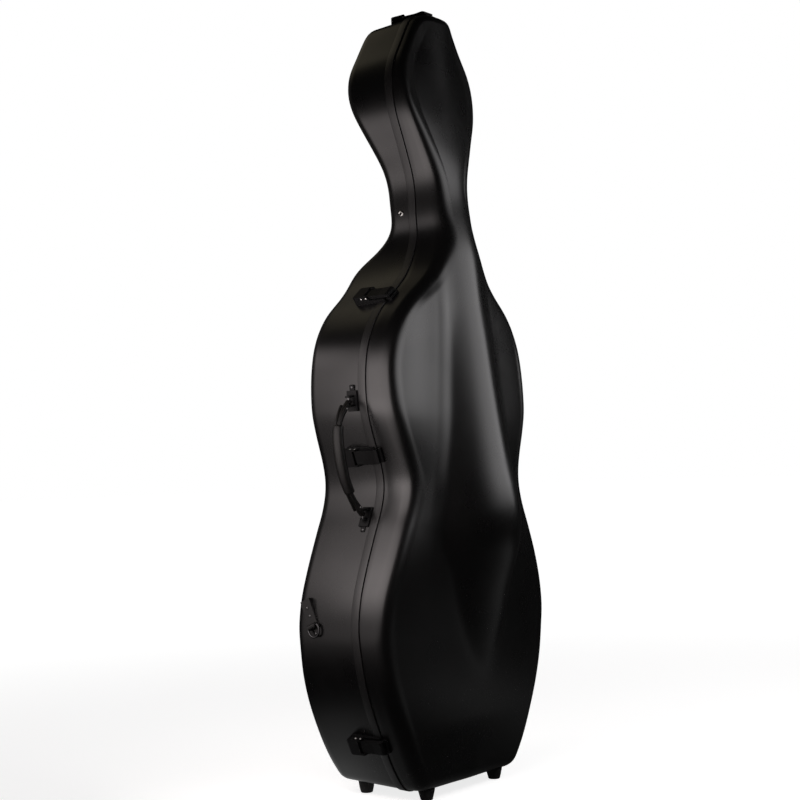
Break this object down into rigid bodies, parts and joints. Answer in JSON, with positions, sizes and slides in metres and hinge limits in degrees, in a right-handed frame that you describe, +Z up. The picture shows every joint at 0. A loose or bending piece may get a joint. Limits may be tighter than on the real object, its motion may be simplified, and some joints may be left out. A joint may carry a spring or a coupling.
{
  "type": "cello hard case",
  "caption": "Hard case for a cello: two moulded shells hinged at the side and closed by latches, standing on feet, with side handle, strap rings and padded interior.",
  "frame": {"origin": "on the floor under the case, midway across its width and midway between the lid's ridge and the back", "axes": "+Z up to the head, -Y to the lid, +X to the hinge side; the seam is the plane y = -7 mm"},
  "size_m": [0.498, 0.3055, 1.33],
  "materials": {
    "shell": "black moulded shell, satin with a fine grain",
    "rim": "black rim strip, satin",
    "rubber": "black rubber, dull",
    "velour": "dark grey velour over foam",
    "fitting_plastic": "black glass-filled plastic, satin",
    "black_steel": "black plated steel, semi-gloss",
    "bright_steel": "bright steel pins and rivets",
    "leather": "black leather, worn smooth"
  },
  "bodies": {
    "back": {"back_shell": "shell", "back_rim_band": "rim", "rim_seal": "rubber", "foot_rear_left": "rubber", "foot_rear_right": "rubber", "end_cushion": "velour", "lower_side_pad_left": "velour", "lower_side_pad_right": "velour", "upper_side_pad_left": "velour", "upper_side_pad_right": "velour", "lower_back_pad": "velour", "upper_back_pad": "velour", "neck_cradle": "velour", "head_cushion": "velour", "lower_hinge_back_leaf": "black_steel", "lower_hinge_pin": "bright_steel", "upper_hinge_back_leaf": "black_steel", "upper_hinge_pin": "bright_steel", "top_latch_base": "fitting_plastic", "top_latch_pin": "bright_steel", "shoulder_latch_base": "fitting_plastic", "shoulder_latch_pin": "bright_steel", "waist_latch_base": "fitting_plastic", "waist_latch_pin": "bright_steel", "lower_latch_base": "fitting_plastic", "lower_latch_pin": "bright_steel", "handle_bracket_lower": "fitting_plastic", "handle_bracket_upper": "fitting_plastic", "handle_pin_lower": "bright_steel", "handle_pin_upper": "bright_steel", "left_strap_tab": "leather", "right_strap_tab": "leather", "left_eyelet": "black_steel", "right_eyelet": "black_steel"},
    "lid": {"lid_shell": "shell", "lid_rim_tongue": "rim", "foot_front_left": "rubber", "foot_front_right": "rubber", "lid_end_cushion": "velour", "lower_hinge_lid_leaf": "black_steel", "upper_hinge_lid_leaf": "black_steel", "top_latch_keeper": "fitting_plastic", "shoulder_latch_keeper": "fitting_plastic", "waist_latch_keeper": "fitting_plastic", "lower_latch_keeper": "fitting_plastic", "left_bow_clip_base": "fitting_plastic", "right_bow_clip_base": "fitting_plastic", "left_frog_pocket": "velour", "right_frog_pocket": "velour"},
    "top_lever": {"top_latch_lever": "fitting_plastic"},
    "shoulder_lever": {"shoulder_latch_lever": "fitting_plastic"},
    "waist_lever": {"waist_latch_lever": "fitting_plastic"},
    "lower_lever": {"lower_latch_lever": "fitting_plastic"},
    "handle": {"handle_strap": "fitting_plastic", "handle_grip": "leather"},
    "left_ring": {"left_strap_ring": "black_steel"},
    "right_ring": {"right_strap_ring": "black_steel"},
    "strap_flap": {"neck_strap": "velour"},
    "left_clip": {"left_bow_turn_clip": "fitting_plastic"},
    "right_clip": {"right_bow_turn_clip": "fitting_plastic"}
  },
  "joints": [
    {"name": "lid_swing", "type": "hinge", "parent": "back", "child": "lid", "pos_m": [0.2456, -0.007, 0.3026], "axis": [-0.0967, 0, 0.9953], "range_deg": [0, 105]},
    {"name": "top_latch", "type": "hinge", "parent": "back", "child": "top_lever", "pos_m": [0, 0.032, 1.3252], "axis": [-1, 0, 0], "range_deg": [0, 95]},
    {"name": "shoulder_latch", "type": "hinge", "parent": "back", "child": "shoulder_lever", "pos_m": [-0.1326, 0.032, 0.8374], "axis": [-0.7886, 0, -0.6149], "range_deg": [0, 95]},
    {"name": "waist_latch", "type": "hinge", "parent": "back", "child": "waist_lever", "pos_m": [-0.1807, 0.032, 0.5666], "axis": [0.3602, 0, -0.9329], "range_deg": [0, 95]},
    {"name": "lower_latch", "type": "hinge", "parent": "back", "child": "lower_lever", "pos_m": [-0.1918, 0.032, 0.0985], "axis": [0.4192, 0, -0.9079], "range_deg": [0, 95]},
    {"name": "handle_swing", "type": "hinge", "parent": "back", "child": "handle", "pos_m": [-0.1844, 0.022, 0.4736], "axis": [-0.1327, 0, 0.9912], "range_deg": [-80, 80]},
    {"name": "left_ring_swing", "type": "hinge", "parent": "back", "child": "left_ring", "pos_m": [-0.2388, 0.091, 0.2952], "axis": [-0.0214, 0.9135, -0.4062], "range_deg": [0, 100]},
    {"name": "right_ring_swing", "type": "hinge", "parent": "back", "child": "right_ring", "pos_m": [0.2388, 0.091, 0.2952], "axis": [-0.0214, -0.9135, 0.4062], "range_deg": [0, 100]},
    {"name": "neck_strap_swing", "type": "hinge", "parent": "back", "child": "strap_flap", "pos_m": [0.033, 0.0057, 0.9332], "axis": [0, 0, 1], "range_deg": [0, 60]},
    {"name": "left_bow_clip_turn", "type": "hinge", "parent": "lid", "child": "left_clip", "pos_m": [-0.127, -0.0517, 0.7446], "axis": [0, -1, 0], "range_deg": [0, 90]},
    {"name": "right_bow_clip_turn", "type": "hinge", "parent": "lid", "child": "right_clip", "pos_m": [0.105, -0.0517, 0.7446], "axis": [0, -1, 0], "range_deg": [0, 90]}
  ]
}
